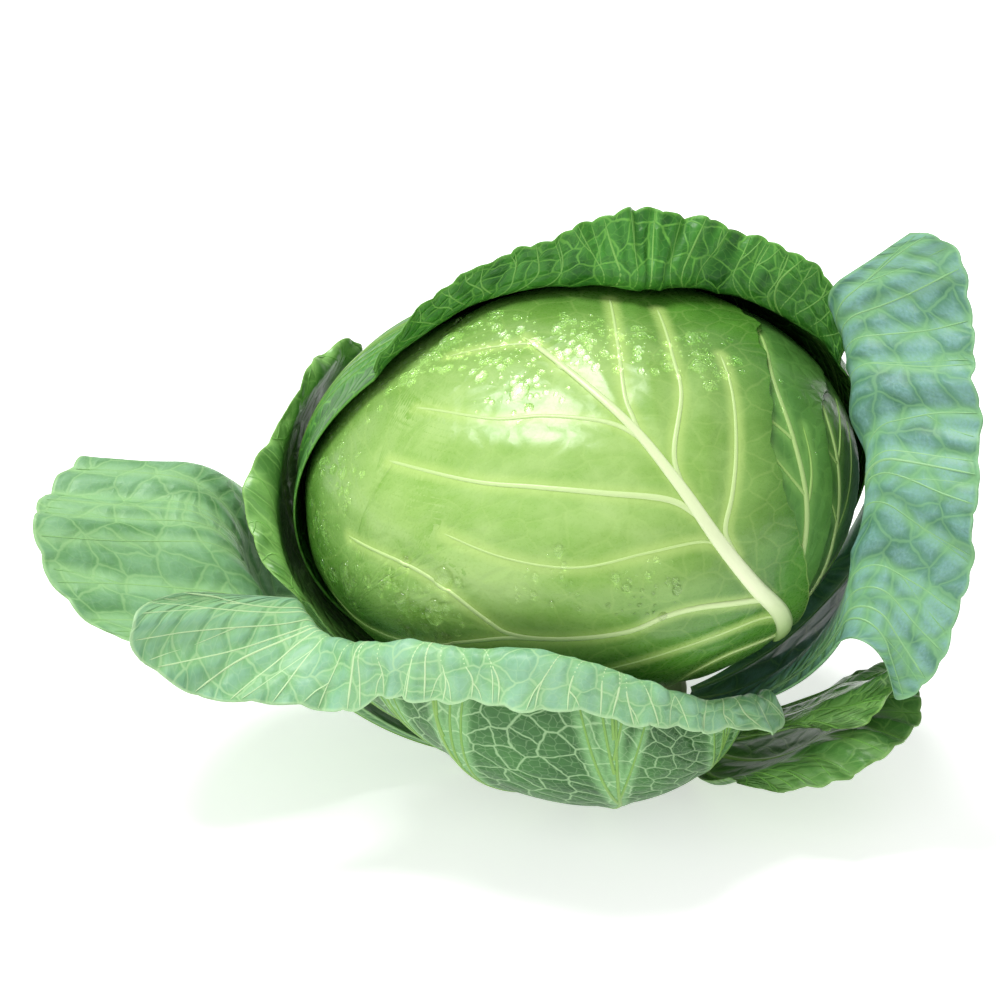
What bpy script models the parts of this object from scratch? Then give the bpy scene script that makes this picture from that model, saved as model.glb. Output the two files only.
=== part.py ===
"""A head of cabbage with its loose wrapper leaves, lying on its cut stem.

Metres, +Z up, the cut face of the stem on Z = 0 at the origin, the front towards -Y.
"""
import bpy
import numpy as np

# The tight head is a flattened ball, leaning a little, its middle off the stem's axis.
HEAD_CENTRE = np.array((-0.022, 0.012, 0.098))
HEAD_RADII = np.array((0.095, 0.088, 0.067))
HEAD_LEAN = 7.0
CORE_DEPTH = 0.0024        # how far the core lies below the outermost head leaf
HEAD_LEAF_STEP = 0.0008    # from one head leaf's face to the next one's
HEAD_LEAF_ROOT = 0.0042    # how deep a head leaf reaches into the core

# The stump of the stem and the distance its leaves keep from it.
STEM_RADIUS = 0.0150
STEM_CUT_RADIUS = 0.0132
STEM_TOP_RADIUS = 0.0128
PART_GAP = 0.0003
PIVOT = np.array((0.0, 0.0, 0.095))

# Blades of the wrapper leaves.
BLADE_THICKNESS = 0.0014
FLOOR_EASE = 0.0003
FREE_BOW = 0.0006
MARGIN_THICKNESS = 0.0010
RIB_WIDTH = 0.0052
RIB_HEIGHT = 0.0019
SIDE_RIB_WIDTH = 0.0034
SIDE_RIB_HEIGHT = 0.0011

# Each wrapper leaf clasps the head from the stem to its fold and then stands free.
# Rows run across the leaf, from its clockwise margin to the other one, seen from above:
# fold in degrees up from straight down, turn in degrees (outward is positive), the rest in metres.
HOOD_LEAF = dict(
    bearing=95, base_spread=30, spread=(78, 86), base_gap=0.0050, lift=(0.008, 0.007, 0.007, 0.006, 0.007, 0.009, 0.011),
    lift_power=1.5, fold=(123, 147, 162, 166, 165, 149, 118), turn=(50, 109, 123, 125, 121, 106, 90), roll=0.005,
    free=(0.028, 0.026, 0.030, 0.0325, 0.031, 0.0195, 0.014), wave=(0.0012, 6, 0), grid=(5, 3, 9, 8))
CURL_LEAF = dict(
    bearing=168, base_spread=18, spread=(22, 26), base_gap=0.0095, lift=(0.0135, 0.0130, 0.0125, 0.0125, 0.0125),
    lift_power=1.5, fold=(103, 103, 98, 90, 80), turn=(60, 110, 50, 120, 60), roll=0.006,
    free=(0.005, 0.008, 0.006, 0.014, 0.010), wave=(0.0015, 3, 1), grid=(3, 2, 6, 5))
RIGHT_LEAF = dict(
    bearing=-25, base_spread=34, spread=(17, 38), base_gap=0.0165, lift=(0.0200, 0.0100, 0.0100, 0.0105, 0.0200),
    lift_power=1.3, widen=0.6, fold=(73, 88, 108, 125, 137), turn=(150, 118, 106, 105, 88), roll=0.010,
    free=(0.050, 0.049, 0.048, 0.053, 0.062), rounding=0.5, gather=0.3, wave=(0.0015, 4, 0), grid=(3, 3, 8, 7))
SMALL_LEAF = dict(
    bearing=-33, base_spread=8, spread=(11, 12), base_gap=0.0230, lift=(0.0290, 0.0290, 0.0290, 0.0290, 0.0290), widen=0.8,
    fold=(47, 52, 55, 54, 50), turn=(50, 20, 0, 25, 50), roll=0.015, free=(0.010, 0.017, 0.020, 0.016, 0.010),
    wave=(0.0014, 2, 1), grid=(3, 2, 5, 4))
FRONT_LEAF = dict(
    bearing=-132, base_spread=26, spread=(31, 83), base_gap=0.0225, lift=(0.017, 0.018, 0.018, 0.017, 0.016, 0.014, 0.015),
    sag=(0.0, 0.003, 0.007, 0.014, 0.018, 0.016, 0.008), fold=(82, 80, 83, 85.5, 84, 62, 49),
    turn=(54, 98, 172, 180, 172, 143, 118), roll=0.0045, free=(0.110, 0.040, 0.0304, 0.0283, 0.0261, 0.019, 0.030),
    wave=(0.0012, 7, 0), grid=(5, 3, 8, 8))
REAR_LEAF = dict(
    bearing=112, base_spread=24, spread=(42, 36), base_gap=0.0225, lift=0.022, sag=0.014, widen=0.6,
    fold=(44, 58, 62, 60, 46), turn=(40, 55, 60, 55, 40), roll=0.02, free=(0.015, 0.032, 0.036, 0.032, 0.015),
    wave=(0.002, 4, 1), grid=(3, 3, 6, 5))
LEFT_LEAF = dict(
    bearing=180, base_spread=18, spread=(25, 16), base_gap=0.0285, lift=(0.025, 0.026, 0.026, 0.025, 0.025), sag=0.007,
    fold=(70.4, 82.2, 82, 77, 69), turn=(52, 78, 72, 66, 54), roll=0.026, free=(0.046, 0.0635, 0.080, 0.085, 0.080),
    gather=(0.85, 0.85, 0.85, 0.5, 0.0), wave=(0.002, 3, 2), grid=(3, 2, 7, 8))
LOW_LEAF = dict(
    bearing=-36, base_spread=18, spread=(26, 36), base_gap=0.0285, lift=(0.037, 0.0385, 0.0385, 0.0385, 0.038), sag=0.006,
    widen=0.6, fold=(36, 44, 48, 48, 46), turn=(55, 60, 50, 40, 40), roll=0.03, free=(0.022, 0.030, 0.034, 0.028, 0.018),
    wave=(0.0015, 4, 0), grid=(3, 2, 6, 5))

# Each leaf of the head follows a midrib over the ball, given by turn and height in degrees,
# and reaches so many degrees to the left and to the right of it, from its base to its tip.
COVER_LEAF = dict(
    midrib=((-38, -38), (-49, -18), (-57, -3), (-63, 13), (-68, 31), (-73, 46), (-85, 62), (-125, 76), (168, 68)),
    left=(4, 38, 66, 76, 80, 78, 70, 52, 8), right=(3, 8, 14, 19, 26, 40, 52, 44, 8), level=0)
SECOND_LEAF = dict(
    midrib=((-40, -36), (-45, -20), (-44, -8), (-39, 10), (-33, 27), (-21, 41), (4, 47), (38, 44)),
    left=(3, 12, 22, 30, 34, 34, 30, 8), right=(3, 7, 9, 11, 14, 20, 22, 6), level=1)
THIRD_LEAF = dict(
    midrib=((-34, -34), (-31, -18), (-29, -5), (-22, 12), (-12, 26), (4, 33), (26, 34)),
    left=(3, 12, 18, 24, 26, 22, 6), right=(3, 14, 24, 30, 34, 28, 6), level=2)

# Side ribs of the cover leaf as turn and height, and each one's radius at its root.
COVER_RIBS = (
    (0.0013, ((-60, -7), (-69, -4), (-84, -7), (-99, -7), (-111, -1), (-129, 12), (-147, 13))),
    (0.0010, ((-107, -6), (-125, -12), (-140, -17), (-156, -16))),
    (0.0013, ((-71, 27), (-85, 32), (-100, 35), (-116, 36), (-142, 36))),
    (0.0011, ((-77, 49), (-98, 53), (-116, 52), (-145, 50))),
    (0.0010, ((-112, 74), (-141, 71), (-158, 64))),
    (0.0010, ((-73, 49), (-71, 56), (-59, 70), (20, 80))),
    (0.0011, ((-67, 32), (-65, 39), (-54, 51), (-43, 61), (-3, 71))),
    (0.0011, ((-62, 15), (-57, 23), (-51, 32), (-43, 42), (-28, 54))),
    (0.0010, ((-44, -31), (-59, -29), (-70, -34))),
)

MATERIALS = {
    "head": ((96, 145, 62), 0.34),
    "stem": ((198, 208, 160), 0.60),
    "hood_leaf": ((68, 128, 60), 0.42),
    "curl_leaf": ((97, 149, 70), 0.42),
    "right_leaf": ((108, 155, 134), 0.50),
    "small_leaf": ((105, 154, 89), 0.40),
    "front_leaf": ((120, 172, 130), 0.48),
    "rear_leaf": ((70, 118, 66), 0.48),
    "left_leaf": ((105, 158, 104), 0.46),
    "low_leaf": ((62, 106, 56), 0.45),
}


def head_axes():
    c, s = np.cos(np.radians(HEAD_LEAN)), np.sin(np.radians(HEAD_LEAN))
    return np.array(((c, 0.0, s), (0.0, 1.0, 0.0), (-s, 0.0, c)))


def head_reach(direction):
    """Distance from the pivot to the face of the head along unit directions."""
    axes = head_axes()
    d = direction @ axes.T / HEAD_RADII
    o = (PIVOT - HEAD_CENTRE) @ axes.T / HEAD_RADII
    a = (d * d).sum(-1)
    b = (d * o).sum(-1)
    return (-b + np.sqrt(b * b - a * ((o * o).sum() - 1.0))) / a


def unit(v):
    return v / np.linalg.norm(v, axis=-1, keepdims=True)


def ease(t):
    t = np.clip(t, 0.0, 1.0)
    return t * t * (3.0 - 2.0 * t)


def along(values, x):
    """A smooth row through evenly spaced values, for x from -1 to 1."""
    v = np.atleast_1d(np.asarray(values, float))
    if len(v) == 1:
        return np.full(np.shape(x), v[0])
    n = len(v) - 1
    p = np.clip((np.asarray(x) + 1.0) / 2.0 * n, 0, n - 1e-9)
    i = p.astype(int)
    f = p - i
    w = np.concatenate(([2 * v[0] - v[1]], v, [2 * v[-1] - v[-2]]))
    a, b, c, d = w[i], w[i + 1], w[i + 2], w[i + 3]
    return b + 0.5 * f * (c - a + f * (2 * a - 5 * b + 4 * c - d + f * (3 * (b - c) + d - a)))


def arc(length, start, turn):
    """How far ahead and outward a line goes that turns evenly from start by turn."""
    bend = np.where(np.abs(turn) < 1e-4, 1e-4, turn)
    ahead = (np.sin(start + bend) - np.sin(start)) / bend
    outward = (np.cos(start) - np.cos(start + bend)) / bend
    return length * ahead, length * outward


def hugging(leaf, x, u):
    """Points of the clasping part, u from 0 at the stem to 1 at the fold."""
    start = np.arcsin((STEM_RADIUS + 0.0016) / (0.064 + leaf["base_gap"]))
    alpha = start + (np.radians(along(leaf["fold"], x)) - start) * u
    wide = np.where(x < 0, leaf["spread"][0], leaf["spread"][1])
    share = ease(u / leaf.get("widen", 0.5))
    phi = np.radians(leaf["bearing"] + x * (leaf["base_spread"] + (wide - leaf["base_spread"]) * share))
    d = np.stack((np.cos(phi) * np.sin(alpha), np.sin(phi) * np.sin(alpha), -np.cos(alpha)), -1)
    gap = leaf["base_gap"] + (along(leaf["lift"], x) - leaf["base_gap"]) * u ** leaf.get("lift_power", 1.0)
    gap = gap + along(leaf.get("sag", 0.0), x) * np.sin(np.pi * u ** 0.8)
    return PIVOT + (head_reach(d) + gap)[..., None] * d


def sheet(leaf, x, q):
    """The smooth leaf: q from 0 at the stem to 1 at the fold and 2 at the margin."""
    x, q = np.broadcast_arrays(np.asarray(x, float), np.asarray(q, float))
    clasp = hugging(leaf, x, np.minimum(q, 1.0))
    one = np.ones_like(x)
    end = hugging(leaf, x, one)
    ahead = unit(end - hugging(leaf, x, one * 0.98))
    axes = head_axes()
    out = unit(((end - HEAD_CENTRE) @ axes.T / HEAD_RADII ** 2) @ axes)
    gather = along(leaf.get("gather", 0.0), x)[..., None]
    mid_end = hugging(leaf, np.zeros(1), np.ones(1))[0]
    mid_ahead = unit(mid_end - hugging(leaf, np.zeros(1), np.full(1, 0.98))[0])
    mid_out = unit(((mid_end - HEAD_CENTRE) @ axes.T / HEAD_RADII ** 2) @ axes)
    ahead = unit((1 - gather) * ahead + gather * mid_ahead)
    out = (1 - gather) * out + gather * mid_out
    out = unit(out - (out * ahead).sum(-1, keepdims=True) * ahead)
    free = along(leaf["free"], x) * np.sqrt(1.0 - leaf.get("rounding", 0.9) * np.minimum(np.abs(x), 1.0) ** 8)
    turn = np.radians(along(leaf["turn"], x))
    roll = np.clip(np.abs(turn) * leaf["roll"], 1e-5, 0.9 * free)
    s = np.maximum(q - 1.0, 0.0) * free
    first = np.minimum(s, roll)
    ca, cb = arc(first, 0.0, turn * first / roll)
    rest = np.maximum(s - roll, 0.0)
    forward = ca + rest * np.cos(turn)
    outward = cb + rest * np.sin(turn)
    return clasp + forward[..., None] * ahead + outward[..., None] * out


def waved(leaf, x, q, step=2e-3):
    """Points of the leaf with the waves of its margin, and its outward normals."""
    x, q = np.broadcast_arrays(np.asarray(x, float), np.asarray(q, float))
    across = sheet(leaf, x + step, q) - sheet(leaf, x - step, q)
    up = sheet(leaf, x, np.clip(q + step, 0, 2)) - sheet(leaf, x, np.clip(q - step, 0, 2))
    normal = unit(np.cross(across, up))
    size, count, phase = leaf["wave"]
    edge = ease((q - 0.7) / 1.3) ** 1.5
    side = 0.6 * ease((np.abs(x) - 0.6) / 0.4) * ease(q / 0.8)
    wave = size * np.maximum(edge, side) * (
        np.sin(count * x * np.pi + phase) + 0.4 * np.sin(2.3 * count * x * np.pi + 2 * phase + 4 * q))
    wave = wave + FREE_BOW * np.sin(np.pi * np.clip(q - 1.0, 0.0, 1.0))
    return sheet(leaf, x, q) + wave[..., None] * normal, normal


def make_object(name, points, faces):
    mesh = bpy.data.meshes.new(name)
    mesh.from_pydata([tuple(p) for p in points], [], [tuple(int(i) for i in f) for f in faces])
    mesh.validate()
    mesh.update()
    obj = bpy.data.objects.new(name, mesh)
    bpy.context.scene.collection.objects.link(obj)
    return obj


def slab(name, outer, inner):
    """A closed blade between two grids, cut into the same triangles on both faces."""
    nx, nt = outer.shape[:2]
    size = nx * nt
    points = np.concatenate((outer.reshape(-1, 3), inner.reshape(-1, 3)))
    faces = []
    at = lambda i, j: i * nt + j
    for i in range(nx - 1):
        for j in range(nt - 1):
            a, b, c, d = at(i, j), at(i + 1, j), at(i + 1, j + 1), at(i, j + 1)
            pairs = ((a, b, c), (a, c, d)) if (i + j) % 2 else ((a, b, d), (b, c, d))
            for p, q, r in pairs:
                faces += [(p, q, r), (size + p, size + r, size + q)]
    rim = [at(i, 0) for i in range(nx)] + [at(nx - 1, j) for j in range(1, nt)]
    rim += [at(i, nt - 1) for i in range(nx - 2, -1, -1)] + [at(0, j) for j in range(nt - 2, 0, -1)]
    for p, q in zip(rim, rim[1:] + rim[:1]):
        faces += [(q, p, size + p), (q, size + p, size + q)]
    return make_object(name, points, faces)


def tube(name, path, radii, sides=4):
    """A tapered rib along a path, closed at both ends."""
    path = np.asarray(path, float)
    n = len(path)
    run = unit(np.gradient(path, axis=0))
    points, faces = [], []
    for i in range(n):
        ref = path[i] - HEAD_CENTRE
        side = unit(ref - np.dot(ref, run[i]) * run[i])
        other = np.cross(run[i], side)
        for k in range(sides):
            turn = 2 * np.pi * k / sides
            points.append(path[i] + radii[i] * (np.cos(turn) * side + np.sin(turn) * other))
    for i in range(n - 1):
        for k in range(sides):
            a, b = i * sides + k, i * sides + (k + 1) % sides
            faces += [(a, b, b + sides), (a, b + sides, a + sides)]
    points += [path[0] - run[0] * radii[0] * 0.5, path[-1] + run[-1] * radii[-1] * 0.5]
    for k in range(sides):
        faces.append((len(points) - 2, (k + 1) % sides, k))
        a = (n - 1) * sides
        faces.append((len(points) - 1, a + k, a + (k + 1) % sides))
    return make_object(name, points, faces)


def fuse(body, pieces):
    """Join the pieces to the body in one union and drop them."""
    if not pieces:
        return body
    group = bpy.data.collections.new(body.name + "_pieces")
    bpy.context.scene.collection.children.link(group)
    for piece in pieces:
        bpy.context.scene.collection.objects.unlink(piece)
        group.objects.link(piece)
    union = body.modifiers.new("union", "BOOLEAN")
    union.operation = "UNION"
    union.operand_type = "COLLECTION"
    union.collection = group
    union.solver = "EXACT"
    joined = bpy.data.meshes.new_from_object(body.evaluated_get(bpy.context.evaluated_depsgraph_get()))
    body.modifiers.clear()
    body.data = joined
    joined.name = body.name
    for piece in pieces:
        bpy.data.objects.remove(piece, do_unlink=True)
    bpy.data.collections.remove(group)
    return body


def colour(obj, name):
    rgb, rough = MATERIALS[name]
    c = np.array(rgb) / 255.0
    c = np.where(c <= 0.04045, c / 12.92, ((c + 0.055) / 1.055) ** 2.4)
    material = bpy.data.materials.new(name)
    material.use_nodes = True
    shader = material.node_tree.nodes["Principled BSDF"]
    shader.inputs["Base Color"].default_value = (*[float(v) for v in c], 1.0)
    shader.inputs["Roughness"].default_value = rough
    shader.inputs["Metallic"].default_value = 0.0
    obj.data.materials.clear()
    obj.data.materials.append(material)


def on_floor(points):
    """How far points must rise to press against the floor, with a soft turn where they meet it."""
    lift = np.zeros_like(points)
    z = points[..., 2]
    lift[..., 2] = 0.5 * (np.sqrt(z * z + FLOOR_EASE ** 2) - z)
    return lift


def wrapper_leaf(name, leaf):
    """A blade whose midrib and main ribs fan out from the stem and stand proud of its outer face."""
    spots, between, nh, nf = leaf["grid"]
    q = np.concatenate((np.linspace(0, 1, nh + 1), 1 + (np.arange(1, nf + 1) / nf) ** 1.25))
    fan = np.linspace(-0.78, 0.78, spots)
    pitch = fan[1] - fan[0]
    near = sheet(leaf, fan[:, None] + 0.01, q[None, :]) - sheet(leaf, fan[:, None] - 0.01, q[None, :])
    stretch = np.linalg.norm(near, axis=-1) / 0.02
    columns, heights = [], []
    taper = 1.0 - 0.55 * q / 2
    for k, spot in enumerate(fan):
        main = k == spots // 2
        half = np.minimum((RIB_WIDTH if main else SIDE_RIB_WIDTH) / 2 * taper / stretch[k], 0.7 * pitch / (between + 1))
        tall = (RIB_HEIGHT if main else SIDE_RIB_HEIGHT) * taper * ease((2 - q) / 0.25)
        steps = [spot - pitch * (1 - i / (between + 1)) for i in range(1, between + 1)] if k else [-1.0]
        columns += [np.full(len(q), v) for v in steps] + [spot - half, spot + 0 * half, spot + half]
        heights += [0 * q for v in steps] + [0 * q, tall, 0 * q]
    columns.append(np.ones(len(q)))
    heights.append(0 * q)
    x, tall = np.array(columns), np.array(heights)
    middle, normal = waved(leaf, x, q[None, :] + 0 * x)
    edge = np.maximum(ease((q[None, :] - 1.5) / 0.5), ease((np.abs(x) - 0.8) / 0.2))
    half = 0.5 * (BLADE_THICKNESS + (MARGIN_THICKNESS - BLADE_THICKNESS) * edge)[..., None]
    rise = on_floor(middle + (half + tall[..., None]) * normal)
    outer = middle + (half + tall[..., None]) * normal + rise
    inner = middle - (half + 0.15 * tall[..., None]) * normal + rise
    near_stem = np.minimum(np.hypot(outer[..., 0], outer[..., 1]), np.hypot(inner[..., 0], inner[..., 1]))
    push = np.where(middle[..., 2] < 0.05, np.maximum(STEM_RADIUS + 2 * PART_GAP - near_stem, 0.0), 0.0)
    for face in (outer, inner):
        face[..., :2] += push[..., None] * unit(middle[..., :2])
    colour(slab(name, outer, inner), name)


def on_head(turns_heights, samples):
    """Unit directions, evenly spaced along a smooth route over the ball."""
    a = np.radians(np.asarray(turns_heights, float))
    nodes = np.stack((np.cos(a[:, 1]) * np.cos(a[:, 0]), np.cos(a[:, 1]) * np.sin(a[:, 0]), np.sin(a[:, 1])), -1)
    fine = np.linspace(-1, 1, 200)
    route = unit(np.stack([along(nodes[:, k], fine) for k in range(3)], -1))
    walk = np.concatenate(([0.0], np.cumsum(np.linalg.norm(np.diff(route, axis=0), axis=1))))
    even = np.linspace(0.0, walk[-1], samples)
    return unit(np.stack([np.interp(even, walk, route[:, k]) for k in range(3)], -1))


def head_point(direction, height):
    """A point that far outside the head's outermost face."""
    return HEAD_CENTRE + (direction * (HEAD_RADII + np.asarray(height)[..., None])) @ head_axes()


def head_leaf(name, leaf, nt=9, nx=8):
    route = on_head(leaf["midrib"], nt)
    side = unit(np.cross(route, np.gradient(route, axis=0)))
    t = np.linspace(-1, 1, nt)
    x = np.linspace(-1, 1, nx)[:, None]
    reach = np.radians(np.where(x < 0, along(leaf["right"], t), along(leaf["left"], t))) * x
    d = np.cos(reach)[..., None] * route[None] + np.sin(reach)[..., None] * side[None]
    face = np.full(reach.shape, -leaf["level"] * HEAD_LEAF_STEP)
    root = np.full(reach.shape, -HEAD_LEAF_ROOT)
    return slab(name, head_point(d, face)[::-1], head_point(d, root)[::-1])


def head_rib(route, radius, samples, level=0, end=0.4):
    path = head_point(on_head(route, samples), np.full(samples, 0.0001 - level * HEAD_LEAF_STEP))
    return tube("head_rib", path, radius * np.linspace(1.0, end, samples))


def make_head():
    rows, columns = 14, 28
    high = np.radians(np.linspace(90, -90, rows))[:, None]
    turn = np.radians(np.linspace(0, 360, columns + 1)[:-1])[None, :]
    d = np.stack((np.cos(high) * np.cos(turn), np.cos(high) * np.sin(turn), np.sin(high) + 0 * turn), -1)
    grid = head_point(d, np.full(d.shape[:2], -CORE_DEPTH))
    points = [grid[0, 0]] + list(grid[1:-1].reshape(-1, 3)) + [grid[-1, 0]]
    faces = []
    for k in range(columns):
        n = (k + 1) % columns
        faces.append((0, 1 + k, 1 + n))
        for r in range(rows - 3):
            a, b = 1 + r * columns + k, 1 + r * columns + n
            faces += [(a, a + columns, b + columns), (a, b + columns, b)]
        last = 1 + (rows - 3) * columns
        faces.append((last + k, len(points) - 1, last + n))
    core = make_object("head", points, faces)
    pieces = [head_leaf("cover", COVER_LEAF, 12, 14), head_leaf("second", SECOND_LEAF), head_leaf("third", THIRD_LEAF)]
    pieces.append(head_rib(COVER_LEAF["midrib"][:-1], 0.0034, 10, 0, 0.3))
    pieces.append(head_rib(SECOND_LEAF["midrib"][:-1], 0.0020, 8, 1, 0.5))
    pieces.append(head_rib(THIRD_LEAF["midrib"][:-1], 0.0020, 7, 2, 0.5))
    pieces += [head_rib(route, radius, 6, 0, 0.55) for radius, route in COVER_RIBS]
    fuse(core, pieces)
    colour(core, "head")


def make_stem():
    sides = 24
    rings = ((0.0, STEM_CUT_RADIUS), (0.003, STEM_RADIUS), (0.016, STEM_RADIUS), (0.024, STEM_RADIUS), (None, STEM_TOP_RADIUS))
    points, faces = [np.zeros(3)], []
    for level, radius in rings:
        for k in range(sides):
            turn = 2 * np.pi * k / sides
            r = radius * (1.0 - 0.03 * (1 + np.cos(3 * turn)) * 0.5)
            x, y = r * np.cos(turn), r * np.sin(turn)
            d = unit(np.array((x, y, -0.064)))
            z = level if level is not None else (PIVOT + head_reach(d) * d)[2] - 2 * PART_GAP
            points.append(np.array((x, y, z)))
    d = np.array((0.0, 0.0, -1.0))
    points.append(np.array((0.0, 0.0, PIVOT[2] - head_reach(d) - 2 * PART_GAP)))
    for k in range(sides):
        n = (k + 1) % sides
        faces.append((0, 1 + n, 1 + k))
        for r in range(len(rings) - 1):
            a, b = 1 + r * sides + k, 1 + r * sides + n
            faces += [(a, b, b + sides), (a, b + sides, a + sides)]
        top = 1 + (len(rings) - 1) * sides
        faces.append((top + k, top + n, len(points) - 1))
    colour(make_object("stem", points, faces), "stem")


def main():
    for obj in list(bpy.data.objects):
        bpy.data.objects.remove(obj, do_unlink=True)
    make_head()
    make_stem()
    wrapper_leaf("hood_leaf", HOOD_LEAF)
    wrapper_leaf("curl_leaf", CURL_LEAF)
    wrapper_leaf("right_leaf", RIGHT_LEAF)
    wrapper_leaf("small_leaf", SMALL_LEAF)
    wrapper_leaf("front_leaf", FRONT_LEAF)
    wrapper_leaf("rear_leaf", REAR_LEAF)
    wrapper_leaf("left_leaf", LEFT_LEAF)
    wrapper_leaf("low_leaf", LOW_LEAF)


main()
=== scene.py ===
import math

import bpy
import numpy as np
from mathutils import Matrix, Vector
from mathutils.kdtree import KDTree


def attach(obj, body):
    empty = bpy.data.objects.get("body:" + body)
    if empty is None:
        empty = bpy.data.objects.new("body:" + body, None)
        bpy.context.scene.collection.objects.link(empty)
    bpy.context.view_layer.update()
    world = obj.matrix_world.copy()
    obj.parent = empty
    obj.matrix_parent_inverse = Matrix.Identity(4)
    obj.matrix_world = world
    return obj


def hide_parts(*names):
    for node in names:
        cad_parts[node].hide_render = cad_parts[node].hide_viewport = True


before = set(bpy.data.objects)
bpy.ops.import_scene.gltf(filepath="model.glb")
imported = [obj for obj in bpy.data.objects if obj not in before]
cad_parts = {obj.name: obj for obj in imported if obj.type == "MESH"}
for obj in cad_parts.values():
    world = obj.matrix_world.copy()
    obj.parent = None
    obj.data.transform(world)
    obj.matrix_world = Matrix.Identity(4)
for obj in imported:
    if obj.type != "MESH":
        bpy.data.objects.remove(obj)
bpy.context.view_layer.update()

# The studio: a white floor under one broad soft light from above and behind, and a pale surround.
# The camera stands one metre in front of the cabbage and looks down on it at 28 degrees.
FLOOR_BELOW = 0.0004
SURROUND_GLOW = 0.50
LOOK_AT = (-0.0513, 0.012, 0.0921)
LOOK_DOWN = 28


def new_look(name):
    """A material, its node tree and its shader."""
    material = bpy.data.materials.new(name)
    material.use_nodes = True
    return material, material.node_tree, material.node_tree.nodes["Principled BSDF"]


def set_inputs(tree, node, **values):
    """Each input, named or numbered as n0, n1 and so on, is linked or given its value."""
    for key, value in values.items():
        numbered = key[0] == "n" and key[1:].isdigit()
        socket = node.inputs[int(key[1:]) if numbered else key.replace("_", " ")]
        if isinstance(value, bpy.types.NodeSocket):
            tree.links.new(value, socket)
        else:
            socket.default_value = value


scene = bpy.context.scene
scene.view_settings.view_transform = "Standard"
floor_mesh = bpy.data.meshes.new("floor")
floor_corners = [(x, y, -FLOOR_BELOW) for x, y in ((-6, -4), (6, -4), (6, 9), (-6, 9))]
floor_mesh.from_pydata(floor_corners, [], [(0, 1, 2, 3)])
floor = bpy.data.objects.new("floor", floor_mesh)
scene.collection.objects.link(floor)
floor_white, tree, shader = new_look("floor_white")
set_inputs(tree, shader, Base_Color=(0.88, 0.88, 0.88, 1), Roughness=0.9, Specular_IOR_Level=0.1,
           Emission_Color=(1, 1, 1, 1), Emission_Strength=SURROUND_GLOW)
floor_mesh.materials.append(floor_white)

surround = bpy.data.worlds.new("surround")
surround.use_nodes = True
set_inputs(surround.node_tree, surround.node_tree.nodes["Background"], Color=(1, 1, 1, 1), Strength=SURROUND_GLOW)
scene.world = surround
for name, towards, strength, spread in (
        ("overhead", (0.30, -0.16, -1.0), 2.9, 24), ("window", (0.45, 0.80, -0.60), 0.70, 60)):
    light_data = bpy.data.lights.new(name, "SUN")
    light_data.energy = strength
    light_data.angle = math.radians(spread)
    light = bpy.data.objects.new(name, light_data)
    light.rotation_euler = Vector(towards).to_track_quat("-Z", "Y").to_euler()
    scene.collection.objects.link(light)

camera_data = bpy.data.cameras.new("camera")
camera_data.sensor_width = 36
camera_data.lens = 104.4
camera = bpy.data.objects.new("camera", camera_data)
camera.location = (LOOK_AT[0], LOOK_AT[1] - math.cos(math.radians(LOOK_DOWN)),
                   LOOK_AT[2] + math.sin(math.radians(LOOK_DOWN)))
camera.rotation_euler = (math.radians(90 - LOOK_DOWN), 0, 0)
scene.collection.objects.link(camera)
scene.camera = camera

# The head: a ball of leaves wrapped tightly over one another, pale green and waxy, with a thick
# cream midrib that forks up over the outermost one. Three leaves are closed wedges down to the
# heart of the core. The outermost one runs on round the left as the core's own raised side.
HEAD_CENTRE = np.array((-0.022, 0.012, 0.098))
HEAD_RADII = np.array((0.095, 0.088, 0.067))
HEAD_LEAN = 7.0
HEAD_MEAN_RADIUS = 0.085
CORE_DEPTH = 0.0024
ROOT_DEPTH = 0.0042
MARGIN_TUCK = 0.0022
HEAD_LEAF_STEP = 0.0008
COVER_PUFF, INNER_PUFF, PUFF_WIDTH = 0.0009, 0.0004, 0.011
GROOVE_DEPTH, GROOVE_WIDTH = 0.00012, 0.0015
HEAD_VEIN_STEP = 0.0012
HEAD_VEIN_RELIEF = 0.42
FAR = 0.03
lean_c, lean_s = math.cos(math.radians(HEAD_LEAN)), math.sin(math.radians(HEAD_LEAN))
HEAD_AXES = np.array(((lean_c, 0.0, lean_s), (0.0, 1.0, 0.0), (-lean_s, 0.0, lean_c)))


def unit(v):
    return v / np.linalg.norm(v, axis=-1, keepdims=True)


def ease(t):
    t = np.clip(t, 0.0, 1.0)
    return t * t * (3.0 - 2.0 * t)


def along(values, x):
    """A smooth row through evenly spaced values, for x from -1 to 1."""
    v = np.atleast_1d(np.asarray(values, float))
    if len(v) == 1:
        return np.full(np.shape(x), v[0])
    n = len(v) - 1
    p = np.clip((np.asarray(x) + 1.0) / 2.0 * n, 0, n - 1e-9)
    i = p.astype(int)
    f = p - i
    w = np.concatenate(([2 * v[0] - v[1]], v, [2 * v[-1] - v[-2]]))
    a, b, c, d = w[i], w[i + 1], w[i + 2], w[i + 3]
    return b + 0.5 * f * (c - a + f * (2 * a - 5 * b + 4 * c - d + f * (3 * (b - c) + d - a)))


def walked(points, axis=0):
    """How far along its row each point lies."""
    steps = np.linalg.norm(np.diff(points, axis=axis), axis=-1)
    return np.concatenate((0 * np.take(steps, [0], axis), np.cumsum(steps, axis=axis)), axis=axis)


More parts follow.
